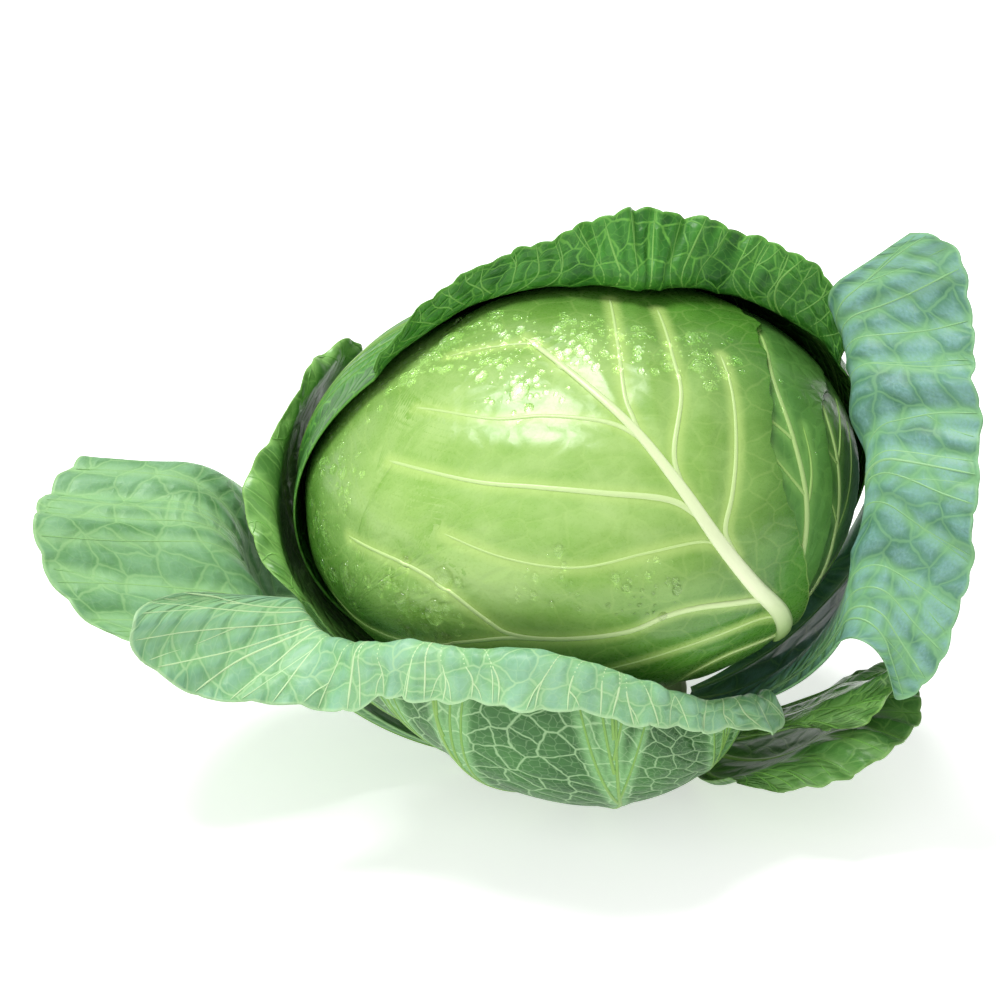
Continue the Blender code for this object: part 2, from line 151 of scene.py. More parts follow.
def on_head(turns_heights, samples):
    """Unit directions, evenly spaced along a smooth route over the ball."""
    turn, high = np.radians(np.asarray(turns_heights, float)).T
    nodes = np.stack((np.cos(high) * np.cos(turn), np.cos(high) * np.sin(turn), np.sin(high)), -1)
    fine = np.linspace(-1, 1, 300)
    route = unit(np.stack([along(nodes[:, k], fine) for k in range(3)], -1))
    walk = walked(route)
    even = np.linspace(0.0, walk[-1], samples)
    return unit(np.stack([np.interp(even, walk, route[:, k]) for k in range(3)], -1))


def head_way(turn, high):
    """The unit direction at one turn and height, in degrees."""
    return on_head(((turn, high), (turn, high + 1)), 2)[0]


def head_point(direction, height):
    return HEAD_CENTRE + (direction * (HEAD_RADII + np.asarray(height)[..., None])) @ HEAD_AXES


def head_normal(direction):
    return unit((direction / HEAD_RADII) @ HEAD_AXES)


def head_swell(d):
    """The slow, soft unevenness of the outermost head leaf, always outwards."""
    across, down = d[..., 0] * 7.1 + d[..., 2] * 6.3, d[..., 1] * 6.5 + d[..., 2] * 4.1
    return 0.0007 * (1.0 + np.sin(across) * np.sin(down + 0.8))


def puffed(far, height):
    """Tissue swells between the veins and dips into a groove beside each of them."""
    return height * ease(far / PUFF_WIDTH) - GROOVE_DEPTH * ease((GROOVE_WIDTH - far) / GROOVE_WIDTH)


def painted_light(d, painted_light_way):
    """Painted light: the head is palest towards the given way, where light falls on it, and painted shade turns it
    deeper green away from there.
    """
    return ease((d @ painted_light_way - 0.42) / 0.54)


def wetness(d, spots):
    """How wet the head is, from spots with a turn, a height and a width in degrees and a strength."""
    wet = np.zeros(d.shape[:2])
    for turn, high, wide, strength in spots:
        away = np.degrees(np.arccos(np.clip(d @ head_way(turn, high), -1, 1)))
        wet = np.maximum(wet, strength * ease(1.6 - away / wide))
    return wet


def grid(columns, rows):
    """The faces of a grid of points, and its border in order. The points run up one column after another."""
    at = lambda i, j: i * rows + j
    faces = [(at(i, j), at(i + 1, j), at(i + 1, j + 1), at(i, j + 1))
             for i in range(columns - 1) for j in range(rows - 1)]
    border = [at(i, 0) for i in range(columns)] + [at(columns - 1, j) for j in range(1, rows)]
    border += [at(i, rows - 1) for i in range(columns - 2, -1, -1)] + [at(0, j) for j in range(rows - 2, 0, -1)]
    return faces, border


def piece(name, points, faces, materials, marks):
    """A closed mesh turned outwards, with its marks kept as attributes."""
    points = np.asarray(points, float)
    quads = np.array([f if len(f) == 4 else (f[0], f[1], f[2], f[2]) for f in faces])
    a, b, c, d = (points[quads[:, k]] for k in range(4))
    volume = (np.einsum("ij,ij->i", a, np.cross(b, c)) + np.einsum("ij,ij->i", a, np.cross(c, d))).sum()
    mesh = bpy.data.meshes.new(name)
    mesh.from_pydata(points.tolist(), [], [f if volume > 0 else f[::-1] for f in faces])
    for mark, values in marks.items():
        values = np.asarray(values, float)
        kind = "FLOAT" if values.ndim == 1 else "FLOAT_VECTOR"
        store = mesh.attributes.new(mark, kind, "POINT")
        store.data.foreach_set("value" if kind == "FLOAT" else "vector", values.ravel())
    for material in materials:
        mesh.materials.append(material)
    mesh.polygons.foreach_set("use_smooth", [True] * len(mesh.polygons))
    mesh.update()
    obj = bpy.data.objects.new(name, mesh)
    scene.collection.objects.link(obj)
    return obj


def nearest(points, targets):
    """How far each point is from the nearest target, up to FAR."""
    kd = KDTree(len(targets))
    for i, p in enumerate(targets):
        kd.insert(p, i)
    kd.balance()
    return np.minimum(np.array([kd.find(p)[2] for p in points]), FAR)


def paint(r, g, b):
    """A colour in the linear values that a shader takes."""
    c = np.array((r, g, b)) / 255.0
    c = np.where(c <= 0.04045, c / 12.92, ((c + 0.055) / 1.055) ** 2.4)
    return (float(c[0]), float(c[1]), float(c[2]), 1.0)


def wire(tree, kind, settings=None, **values):
    """A node with its settings and its inputs."""
    node = tree.nodes.new(kind)
    for key, value in (settings or {}).items():
        setattr(node, key, value)
    set_inputs(tree, node, **values)
    return node


def mixed(tree, factor, first, second):
    """A colour between two others."""
    return wire(tree, "ShaderNodeMix", {"data_type": "RGBA"}, Factor=factor, n6=first, n7=second).outputs[2]


def reckoned(tree, operation, *terms):
    """One step of arithmetic in a node tree."""
    inputs = {f"n{k}": term for k, term in enumerate(terms)}
    return wire(tree, "ShaderNodeMath", {"operation": operation}, **inputs).outputs[0]


def eased(tree, value, low, high, start=0.0, end=1.0):
    """A value that turns softly from start to end between low and high."""
    return wire(tree, "ShaderNodeMapRange", {"interpolation_type": "SMOOTHSTEP"}, Value=value,
                From_Min=low, From_Max=high, To_Min=start, To_Max=end).outputs[0]


# Between its veins a blade carries a net of fine veins, in cells of several millimetres with
# a finer net inside. The tissue is mottled, paler beside a vein and yellower at the margin.
FINER_CELLS = 2.9
PILLOW_BUMP, NET_BUMP, POWDER_BUMP = 0.00034, 0.00008, 0.00005
tissue = bpy.data.node_groups.new("leaf_tissue", "ShaderNodeTree")
for socket, kind in (
        ("Place", "Vector"), ("Blade", "Color"), ("Deep", "Color"), ("Net", "Color"), ("Beside Vein", "Color"),
        ("Bloom", "Color"), ("Vein Distance", "Float"), ("Margin Distance", "Float"), ("Cells", "Float"),
        ("Net Strength", "Float"), ("Bloom Amount", "Float"), ("Gloss", "Float")):
    tissue.interface.new_socket(socket, in_out="INPUT", socket_type="NodeSocket" + kind)
for socket, kind in (("Color", "Color"), ("Roughness", "Float"), ("Height", "Float")):
    tissue.interface.new_socket(socket, in_out="OUTPUT", socket_type="NodeSocket" + kind)
given = tissue.nodes.new("NodeGroupInput").outputs
bend = wire(tissue, "ShaderNodeTexNoise", Vector=given["Place"], Scale=160.0, Detail=2.0)
shift = wire(tissue, "ShaderNodeVectorMath", {"operation": "MULTIPLY_ADD"},
             n0=bend.outputs["Color"], n1=(0.0034, 0.0034, 0.0), n2=given["Place"])
to_edge = {"voronoi_dimensions": "2D", "feature": "DISTANCE_TO_EDGE"}
coarse = wire(tissue, "ShaderNodeTexVoronoi", to_edge, Vector=shift.outputs[0], Scale=given["Cells"])
fine = wire(tissue, "ShaderNodeTexVoronoi", to_edge, Vector=shift.outputs[0],
            Scale=reckoned(tissue, "MULTIPLY", given["Cells"], FINER_CELLS))
net = reckoned(tissue, "MAXIMUM", eased(tissue, coarse.outputs["Distance"], 0.012, 0.058, 1.0, 0.0),
               eased(tissue, fine.outputs["Distance"], 0.0, 0.10, 0.34, 0.0))
net_shown = reckoned(tissue, "MULTIPLY", net, given["Net Strength"])
pillow = eased(tissue, coarse.outputs["Distance"], 0.0, 0.32)
patches = wire(tissue, "ShaderNodeTexNoise", Vector=given["Place"], Scale=38.0, Detail=4.0, Roughness=0.6)
patch = wire(tissue, "ShaderNodeMapRange", Value=patches.outputs["Fac"], From_Min=0.36, From_Max=0.66)
powder = wire(tissue, "ShaderNodeTexNoise", Vector=given["Place"], Scale=900.0, Detail=3.0).outputs["Fac"]
# The bloom colour is dusted on the pillow tops: partly the leaf's waxy bloom and partly a painted highlight on the
# pillows.
bloom_and_highlight = reckoned(tissue, "MULTIPLY", reckoned(tissue, "MULTIPLY", powder, given["Bloom Amount"]), pillow)
beside_vein = eased(tissue, given["Vein Distance"], 0.0004, 0.0045, 0.75, 0.0)
at_margin = eased(tissue, given["Margin Distance"], 0.0003, 0.0016, 0.7, 0.0)
tone = mixed(tissue, patch.outputs[0], given["Blade"], given["Deep"])
for share, over in ((beside_vein, "Beside Vein"), (bloom_and_highlight, "Bloom"), (net_shown, "Net"), (at_margin, "Net")):
    tone = mixed(tissue, share, tone, given[over])
relief = reckoned(tissue, "MULTIPLY", pillow, PILLOW_BUMP)
relief = reckoned(tissue, "MULTIPLY_ADD", net_shown, NET_BUMP, relief)
relief = reckoned(tissue, "MULTIPLY_ADD", powder, POWDER_BUMP, relief)
set_inputs(tissue, tissue.nodes.new("NodeGroupOutput"), Color=tone, Height=relief,
           Roughness=reckoned(tissue, "MULTIPLY_ADD", powder, 0.22, given["Gloss"]))


def blade_material(name, upper, under, net, beside, bloom=(190, 215, 205), bloom_amount=0.0, cells=110.0,
                   net_strength=0.6, gloss=0.30, coat=0.12, bump=1.0):
    """Leaf tissue with its own colours above (upper) and below (under), each a lighter and a deeper one.
    On the head pieces the upper colours are painted light and the under colours painted shade.
    """
    material, tree, shader = new_look(name)
    place, side, vein, edge = (
        wire(tree, "ShaderNodeAttribute", {"attribute_name": mark}).outputs
        for mark in ("flat_place", "upper_face_and_painted_light", "vein_distance", "margin_distance"))
    # On a blade this mark tells its upper face; on the head pieces it is painted light, mixing painted light and
    # painted shade.
    light, deep = (mixed(tree, side["Fac"], paint(*under[k]), paint(*upper[k])) for k in range(2))
    group = wire(tree, "ShaderNodeGroup", {"node_tree": tissue}, Place=place["Vector"], Blade=light, Deep=deep,
                 Net=paint(*net), Beside_Vein=paint(*beside), Bloom=paint(*bloom), Vein_Distance=vein["Fac"],
                 Margin_Distance=edge["Fac"], Cells=cells, Net_Strength=net_strength, Gloss=gloss,
                 Bloom_Amount=reckoned(tree, "MULTIPLY", side["Fac"], bloom_amount))
    dent = wire(tree, "ShaderNodeBump", Height=group.outputs["Height"], Distance=bump, Strength=1.0)
    set_inputs(tree, shader, Base_Color=group.outputs["Color"], Roughness=group.outputs["Roughness"],
               Normal=dent.outputs[0], Coat_Weight=coat, Coat_Roughness=0.28, Specular_IOR_Level=0.30)
    return material


def vein_material(name, thick, thin, wide, gloss=0.34):
    """A vein is cream where it is thick, green at its stout base and the leaf's own green where it is thin."""
    material, tree, shader = new_look(name)
    width = wire(tree, "ShaderNodeAttribute", {"attribute_name": "half_width"}).outputs["Fac"]
    share = wire(tree, "ShaderNodeMapRange", Value=width, From_Min=0.0002, From_Max=wide)
    tone = mixed(tree, share.outputs[0], paint(*thin), paint(*thick))
    tone = mixed(tree, eased(tree, width, 0.0027, 0.0040), tone, paint(150, 190, 100))
    place = wire(tree, "ShaderNodeTexCoord").outputs["Object"]
    fibre = wire(tree, "ShaderNodeTexNoise", Vector=place, Scale=420.0, Detail=3.0)
    dent = wire(tree, "ShaderNodeBump", Height=fibre.outputs["Fac"], Distance=0.00015, Strength=1.0)
    set_inputs(tree, shader, Base_Color=tone, Normal=dent.outputs[0], Roughness=gloss, Specular_IOR_Level=0.35)
    return material


# Veins are laid along routes on a leaf as low rounded strips. Geometry Nodes sweep a flattened
# ring along each route, as wide as the route's half_width, its flat side on the leaf.
def start_tree(name, *sockets):
    """A Geometry Nodes tree, the identifiers of its named inputs, and these inputs inside the tree."""
    tree = bpy.data.node_groups.new(name, "GeometryNodeTree")
    tree.interface.new_socket("Geometry", in_out="INPUT", socket_type="NodeSocketGeometry")
    keys = {key: tree.interface.new_socket(key, in_out="INPUT", socket_type="NodeSocket" + kind).identifier
            for key, kind in sockets}
    tree.interface.new_socket("Geometry", in_out="OUTPUT", socket_type="NodeSocketGeometry")
    return tree, keys, tree.nodes.new("NodeGroupInput").outputs


def end_tree(tree, geometry, material):
    """The tree's result, made real and smooth and given its material."""
    rounded = wire(tree, "GeometryNodeSetShadeSmooth", Geometry=geometry)
    real = wire(tree, "GeometryNodeRealizeInstances", Geometry=rounded.outputs[0])
    finished = wire(tree, "GeometryNodeSetMaterial", Geometry=real.outputs[0], Material=material)
    tree.links.new(finished.outputs[0], tree.nodes.new("NodeGroupOutput").inputs[0])


def grown(name, mesh, tree, keys, **values):
    """What a tree makes from a mesh, as a plain mesh in an object of its own."""
    carrier = bpy.data.objects.new(name + "_carrier", mesh)
    scene.collection.objects.link(carrier)
    growth = carrier.modifiers.new("growth", "NODES")
    growth.node_group = tree
    for key, value in values.items():
        growth[keys[key]] = value
    plain = bpy.data.meshes.new_from_object(carrier.evaluated_get(bpy.context.evaluated_depsgraph_get()))
    plain.name = name
    bpy.data.objects.remove(carrier, do_unlink=True)
    obj = bpy.data.objects.new(name, plain)
    scene.collection.objects.link(obj)
    return obj


strips, STRIP_KEYS, given = start_tree(
    "vein_strips", ("Relief", "Float"), ("Sides", "Int"), ("Material", "Material"))
route_line = wire(strips, "GeometryNodeMeshToCurve", Mesh=given["Geometry"])
leaf_up = wire(strips, "GeometryNodeInputNamedAttribute", {"data_type": "FLOAT_VECTOR"}, Name="leaf_up")
half_width = wire(strips, "GeometryNodeInputNamedAttribute", {"data_type": "FLOAT"}, Name="half_width")
upright = wire(strips, "GeometryNodeSetCurveNormal", {"mode": "FREE"}, Curve=route_line.outputs[0],
               Normal=leaf_up.outputs[0])
ring = wire(strips, "GeometryNodeCurvePrimitiveCircle", Resolution=given["Sides"], Radius=1.0)
flat = wire(strips, "ShaderNodeCombineXYZ", n0=given["Relief"], n1=1.0, n2=1.0)
flat_ring = wire(strips, "GeometryNodeTransform", Geometry=ring.outputs[0], Scale=flat.outputs[0])
swept = wire(strips, "GeometryNodeCurveToMesh", Curve=upright.outputs[0], Profile_Curve=flat_ring.outputs[0],
             Scale=half_width.outputs[0], Fill_Caps=True)
end_tree(strips, swept.outputs[0], given["Material"])


def lay_veins(name, routes, relief, material, sides=6):
    """Strips along routes, each one its points, the leaf's up there and its half widths."""
    points, edges, ups, halves = [], [], [], []
    for place, up, half in routes:
        start = len(points)
        points += place.tolist()
        ups += up.tolist()
        halves += list(half)
        edges += [(start + i, start + i + 1) for i in range(len(place) - 1)]
    mesh = bpy.data.meshes.new(name + "_routes")
    mesh.from_pydata(points, edges, [])
    mesh.attributes.new("half_width", "FLOAT", "POINT").data.foreach_set("value", np.array(halves, float))
    mesh.attributes.new("leaf_up", "FLOAT_VECTOR", "POINT").data.foreach_set("vector", np.array(ups, float).ravel())
    return grown(name, mesh, strips, STRIP_KEYS, Relief=relief, Sides=sides, Material=material)


def head_leaf(name, midrib, left, right, level, columns, rows, material, veins, painted_light_way, wet_spots):
    """A head leaf's face over the ball, reaching left and right of its midrib in degrees, closed by
    a skirt and a fan to the head's middle. Water stands on its wet_spots."""
    route = on_head(midrib, rows)
    side = unit(np.cross(route, np.gradient(route, axis=0)))
    t = np.linspace(-1, 1, rows)
    x = np.linspace(-1, 1, columns)[:, None]
    reach = np.radians(np.where(x < 0, along(right, t), along(left, t))) * x
    edge_wave = 1.0 + 0.02 * np.sin(t * 31) + 0.012 * np.sin(t * 73 + 1)
    reach = reach * edge_wave
    d = np.cos(reach)[..., None] * route[None] + np.sin(reach)[..., None] * side[None]
    base = head_point(d, np.full(reach.shape, -level * HEAD_LEAF_STEP))
    far = nearest(base.reshape(-1, 3), np.concatenate([v[0] for v in veins])).reshape(reach.shape)
    puff = puffed(far, COVER_PUFF if level == 0 else INNER_PUFF)
    tuck = -MARGIN_TUCK * ease((np.abs(x) - 0.955) / 0.045)
    face = head_point(d, -level * HEAD_LEAF_STEP + puff + tuck + head_swell(d) * (level == 0))
    root = head_point(d, np.full(reach.shape, -ROOT_DEPTH))
    faces, rim = grid(columns, rows)
    points = np.concatenate((face.reshape(-1, 3), root.reshape(-1, 3)[rim], [HEAD_CENTRE]))
    size, count = columns * rows, len(rim)
    for k in range(count):
        n = (k + 1) % count
        faces.append((rim[n], rim[k], size + k, size + n))
        faces.append((size + n, size + k, size + count))
    walk = walked(base[columns // 2])
    flat_x = reach * HEAD_MEAN_RADIUS
    place = np.stack((flat_x, np.broadcast_to(walk, reach.shape), 0 * reach), -1).reshape(-1, 3)
    margin = (1 - np.abs(x)) * np.abs(np.where(x < 0, reach[0], reach[-1])) * HEAD_MEAN_RADIUS
    extra = len(points) - size
    # The face mark here holds painted light: palest towards the given way and painted shade away from it.
    return piece(name, points, faces, [material], {
        "wet": np.concatenate((wetness(d, wet_spots).reshape(-1), np.zeros(extra))),
        "flat_place": np.concatenate((place, np.zeros((extra, 3)))),
        "upper_face_and_painted_light": np.concatenate((painted_light(d, painted_light_way).reshape(-1), np.zeros(extra))),
        "vein_distance": np.concatenate((far.reshape(-1), np.full(extra, FAR))),
        "margin_distance": np.concatenate((np.minimum(margin, FAR).reshape(-1), np.zeros(extra)))})


def head_vein(route, start, end, level=0, out=0.0):
    """A vein's points along a route over the ball, with its half width from start to end."""
    rough_walk = head_point(on_head(route, 60), np.zeros(60))
    length = np.linalg.norm(np.diff(rough_walk, axis=0), axis=1).sum()
    n = max(6, int(length / HEAD_VEIN_STEP))
    d = on_head(route, n)
    share = np.linspace(0, 1, n)
    taper = np.clip(np.minimum(share / 0.03 + 0.4, (1 - share) / 0.04 + 0.3), 0, 1)
    half = (start + (end - start) * share ** 0.8) * taper
    return head_point(d, out - level * HEAD_LEAF_STEP + head_swell(d) * (level == 0)), head_normal(d), half


# The head's veins, each one its half widths and its route in turns and heights over the ball.
cover_midrib = (
    (-38, -38), (-49, -18), (-57, -3), (-63, 13), (-68, 31), (-73, 46), (-85, 62), (-125, 76), (168, 68))
cover_side = (
    (0.0015, 0.0005, ((-53, -10), (-60, -7), (-69, -4), (-76, -4), (-84, -7), (-99, -7), (-107, -5), (-111, -1),
                      (-119, 7), (-129, 12), (-147, 13))),
    (0.0010, 0.0004, ((-99, -7), (-109, -7), (-125, -12), (-140, -17), (-154, -18), (-162, -12))),
    (0.0014, 0.0005, ((-65, 20), (-71, 27), (-85, 32), (-100, 35), (-116, 36), (-142, 36))),
    (0.0012, 0.0004, ((-71, 42), (-79, 49), (-98, 53), (-116, 52), (-145, 50))),
    (0.0010, 0.0004, ((-92, 66), (-112, 74), (-141, 71), (-158, 64))),
    (0.0011, 0.0004, ((-72, 43), (-72, 49), (-71, 56), (-59, 70), (20, 80))),
    (0.0013, 0.0004, ((-66, 24), (-67, 32), (-65, 39), (-54, 51), (-43, 61), (-3, 71))),
    (0.0012, 0.0004, ((-60, 7), (-61, 15), (-57, 23), (-51, 32), (-43, 42), (-28, 54))),
    (0.0012, 0.0004, ((-40, -35), (-46, -31), (-59, -29), (-68, -33), (-73, -42))),
    (0.0007, 0.0003, ((-48, -20), (-56, -16), (-70, -17), (-86, -20), (-100, -24))),
    (0.0006, 0.0003, ((-61, 9), (-66, 14), (-78, 15), (-92, 14), (-106, 17), (-120, 22))),
)
cover_veins = [head_vein(cover_midrib[:-1], 0.0040, 0.0009, out=0.0002)]
cover_veins += [head_vein(route, 0.85 * a, b) for a, b, route in cover_side]
second_midrib = ((-40, -36), (-45, -20), (-44, -8), (-39, 10), (-33, 27), (-21, 41), (4, 47), (38, 44))
second_veins = [head_vein(second_midrib[:-1], 0.0018, 0.0007, 1)]
second_veins += [head_vein(route, 0.0008, 0.0003, 1) for route in (
    ((-43, -6), (-47, 8), (-50, 20), (-50, 30)), ((-38, 12), (-41, 24), (-42, 36)),
    ((-33, 27), (-35, 38), (-30, 47)), ((-38, 11), (-33, 18), (-27, 28)), ((-45, -18), (-50, -10), (-53, 0)))]
third_midrib = ((-34, -34), (-31, -18), (-29, -5), (-22, 12), (-12, 26), (4, 33), (26, 34))
third_veins = [head_vein(third_midrib[:-1], 0.0017, 0.0006, 2)]
third_veins += [head_vein(route, 0.0007, 0.0003, 2) for route in (
    ((-28, -4), (-30, 8), (-32, 20)), ((-22, 12), (-24, 22), (-24, 32)), ((-29, -6), (-22, 0), (-13, 8), (-3, 14)),
    ((-21, 13), (-12, 17), (0, 20)), ((-32, -20), (-22, -18), (-10, -12), (0, -4)))]

# On the head the upper colours are painted light and the under colours painted shade, mixed by the painted light
# mark.
cover_tissue = blade_material(
    "cover_tissue", ((160, 194, 112), (128, 172, 74)), ((80, 134, 44), (56, 106, 30)), (176, 206, 120),
    (176, 206, 116), cells=105.0, net_strength=0.13, gloss=0.18, coat=0.24, bump=0.4)
inner_tissue = blade_material(
    "head_inner_tissue", ((92, 142, 66), (70, 118, 46)), ((76, 124, 56), (52, 96, 36)), (120, 168, 84),
    (122, 170, 84), cells=115.0, net_strength=0.2, gloss=0.20, coat=0.35, bump=0.5)
cream_vein = vein_material("cream_vein", (226, 236, 194), (176, 206, 126), 0.0026, 0.30)
pale_vein = vein_material("pale_vein", (190, 212, 146), (130, 174, 82), 0.0018)

# The core is a closed ball. Its left side is raised and puffed into the outermost leaf's face.
CORE_ROWS, CORE_COLUMNS = 110, 220
high = np.radians(np.linspace(90, -90, CORE_ROWS))[:, None]
turn = np.radians(np.linspace(0, 360, CORE_COLUMNS + 1)[:-1])[None, :]
d = np.stack((np.cos(high) * np.cos(turn), np.cos(high) * np.sin(turn), np.sin(high) + 0 * turn), -1)
plain_rings = head_point(d, np.zeros(d.shape[:2]))
core_far = nearest(plain_rings.reshape(-1, 3), np.concatenate([v[0] for v in cover_veins])).reshape(d.shape[:2])
wrapped = ease(-d[..., 0] / 0.40) * ease((0.40 - d[..., 1]) / 0.35)
rings = head_point(d, -CORE_DEPTH + wrapped * (CORE_DEPTH + puffed(core_far, COVER_PUFF) + head_swell(d)))
core_points = [rings[0, 0]] + list(rings[1:-1].reshape(-1, 3)) + [rings[-1, 0]]
core_faces = []
for k in range(CORE_COLUMNS):
    n = (k + 1) % CORE_COLUMNS
    core_faces.append((0, 1 + k, 1 + n))
    for r in range(CORE_ROWS - 3):
        a, b = 1 + r * CORE_COLUMNS + k, 1 + r * CORE_COLUMNS + n
        core_faces.append((a, a + CORE_COLUMNS, b + CORE_COLUMNS, b))
    last = 1 + (CORE_ROWS - 3) * CORE_COLUMNS
    core_faces.append((last + k, len(core_points) - 1, last + n))
over_core = lambda rows: np.concatenate(([rows[0, 0]], rows[1:-1].ravel(), [rows[-1, 0]]))
# Painted light: the cover leaf and the core's raised side are palest towards this way, where light falls on the
# head, and painted shade makes them deeper green away from it.
cover_painted_light_way = head_way(-106, 37)
left_wet = wetness(d, [(turn, high, 9, 0.8) for turn, high in ((-172, 36), (-176, 52), (-159, 24), (-156, 8))])
head_core = piece("head_core", core_points, core_faces, [inner_tissue, cover_tissue], {
    "flat_place": np.asarray(core_points)[:, [0, 2, 1]], "upper_face_and_painted_light": over_core(painted_light(d, cover_painted_light_way)),
    "wet": over_core(left_wet), "vein_distance": over_core(core_far),
    "margin_distance": np.full(len(core_points), FAR)})
covered = over_core(wrapped)
which_look = [int(covered[list(face)].mean() > 0.3) for face in core_faces]
head_core.data.polygons.foreach_set("material_index", which_look)

cover = head_leaf(
    "head_cover", cover_midrib, left=(4, 60, 104, 122, 126, 122, 104, 72, 8),
    right=(3, 8, 14, 19, 26, 40, 52, 44, 8), level=0, columns=230, rows=190, material=cover_tissue,
    veins=cover_veins, painted_light_way=cover_painted_light_way, wet_spots=(
        (-172, 36, 9, 0.9), (-176, 52, 9, 1.0), (-165, 67, 9, 1.0), (-134, 72, 8, 1.0), (-77, 74, 8, 1.0),
        (-51, 66, 7, 0.9), (-34, 57, 7, 0.8), (-159, 24, 9, 0.8), (-156, 8, 9, 0.7), (-147, 0, 8, 0.8),
        (-126, 1, 11, 0.8), (-96, 10, 7, 0.6), (-80, 6, 7, 0.7), (-110, 60, 8, 0.6)))
second = head_leaf(
    "head_second", second_midrib, left=(3, 12, 22, 30, 34, 34, 30, 8), right=(3, 7, 9, 11, 14, 20, 22, 6),
    level=1, columns=70, rows=130, material=inner_tissue, veins=second_veins, painted_light_way=head_way(-50, 10),
    wet_spots=((-27, 30, 7, 0.6), (-30, 39, 7, 0.7)))
third = head_leaf(
    "head_third", third_midrib, left=(3, 12, 18, 24, 26, 22, 6), right=(3, 14, 24, 30, 34, 28, 6),
    level=2, columns=80, rows=130, material=inner_tissue, veins=third_veins, painted_light_way=head_way(-70, 20),
    wet_spots=((-14, 30, 8, 0.5),))
head_pieces = [head_core, cover, second, third]
head_pieces.append(lay_veins("head_cover_veins", cover_veins, HEAD_VEIN_RELIEF, cream_vein, 10))
head_pieces.append(lay_veins("head_inner_veins", second_veins + third_veins, HEAD_VEIN_RELIEF, pale_vein, 8))
for part in head_pieces:
    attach(part, "root")
    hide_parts("head")

# Water stands on the head in drops, densest in the shade below the hood leaf. Geometry Nodes
# scatter low domes where the leaf's wet mark is high, each one turned to the leaf and sunk in it.
water, tree, shader = new_look("water")
set_inputs(tree, shader, Base_Color=(1, 1, 1, 1), Transmission_Weight=1.0, IOR=1.33, Roughness=0.02)
lit_through = wire(tree, "ShaderNodeMixShader", n0=wire(tree, "ShaderNodeLightPath").outputs["Is Shadow Ray"],
                   n1=shader.outputs[0], n2=wire(tree, "ShaderNodeBsdfTransparent").outputs[0])
tree.links.new(lit_through.outputs[0], tree.nodes["Material Output"].inputs["Surface"])
sprinkle, SPRINKLE_KEYS, given = start_tree(
    "water_drops", ("Spacing", "Float"), ("Density", "Float"), ("Smallest", "Float"), ("Largest", "Float"),
    ("Seed", "Int"), ("Material", "Material"))
wet = wire(sprinkle, "GeometryNodeInputNamedAttribute", {"data_type": "FLOAT"}, Name="wet")
spots = wire(sprinkle, "GeometryNodeDistributePointsOnFaces", {"distribute_method": "POISSON"},
             Mesh=given["Geometry"], Distance_Min=given["Spacing"], Density_Max=given["Density"],
             Density_Factor=wet.outputs[0], Seed=given["Seed"])
dome = wire(sprinkle, "GeometryNodeMeshUVSphere", Segments=10, Rings=6, Radius=1.0)
chance = wire(sprinkle, "FunctionNodeRandomValue", {"data_type": "FLOAT"}, n2=0.0, n3=1.0, n8=given["Seed"])
drop_size = wire(sprinkle, "ShaderNodeMapRange", Value=reckoned(sprinkle, "POWER", chance.outputs[1], 2.6),
                 To_Min=given["Smallest"], To_Max=given["Largest"])
drop_long = wire(sprinkle, "FunctionNodeRandomValue", {"data_type": "FLOAT"}, n2=0.85, n3=1.5, n8=7)
drop_flat = wire(sprinkle, "FunctionNodeRandomValue", {"data_type": "FLOAT"}, n2=0.40, n3=0.60, n8=8)
drop_shape = wire(sprinkle, "ShaderNodeCombineXYZ", n0=1.0, n1=drop_long.outputs[1], n2=drop_flat.outputs[1])
drop_scale = wire(sprinkle, "ShaderNodeVectorMath", {"operation": "SCALE"}, n0=drop_shape.outputs[0],
                  Scale=drop_size.outputs[0])
placed = wire(sprinkle, "GeometryNodeInstanceOnPoints", Points=spots.outputs["Points"], Instance=dome.outputs[0],
              Rotation=spots.outputs["Rotation"], Scale=drop_scale.outputs[0])
end_tree(sprinkle, placed.outputs[0], given["Material"])
for name, under, spacing, density, smallest, largest, seed in (
        ("head_water_small", cover, 0.0017, 260000.0, 0.0004, 0.0019, 3),
        ("head_water_large", cover, 0.0080, 6000.0, 0.0020, 0.0038, 4),
        ("head_water_left", head_core, 0.0019, 200000.0, 0.0004, 0.0020, 6),
        ("head_water_right", second, 0.0026, 60000.0, 0.0004, 0.0013, 5)):
    drops = grown(name, under.data.copy(), sprinkle, SPRINKLE_KEYS, Spacing=spacing, Density=density,
                  Smallest=smallest, Largest=largest, Seed=seed, Material=water)
    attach(drops, "root")
    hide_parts("head")

# The stem: the stump that the head was cut from, pale and fibrous, with a drier cut face below.
# The leaves grow from it. It stays as the source has it and only gets its look here.
stem_tissue, tree, shader = new_look("stem_tissue")
place = wire(tree, "ShaderNodeTexCoord").outputs["Object"]
stretch = wire(tree, "ShaderNodeMapping", Vector=place, Scale=(260.0, 260.0, 22.0))
fibres = wire(tree, "ShaderNodeTexNoise", Vector=stretch.outputs[0], Scale=1.0, Detail=5.0).outputs["Fac"]
dent = wire(tree, "ShaderNodeBump", Height=fibres, Distance=0.0004, Strength=1.0)
set_inputs(tree, shader, Base_Color=mixed(tree, fibres, paint(206, 212, 168), paint(158, 180, 112)),
           Normal=dent.outputs[0], Roughness=0.6)
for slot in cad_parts["stem"].material_slots:
    slot.material = stem_tissue

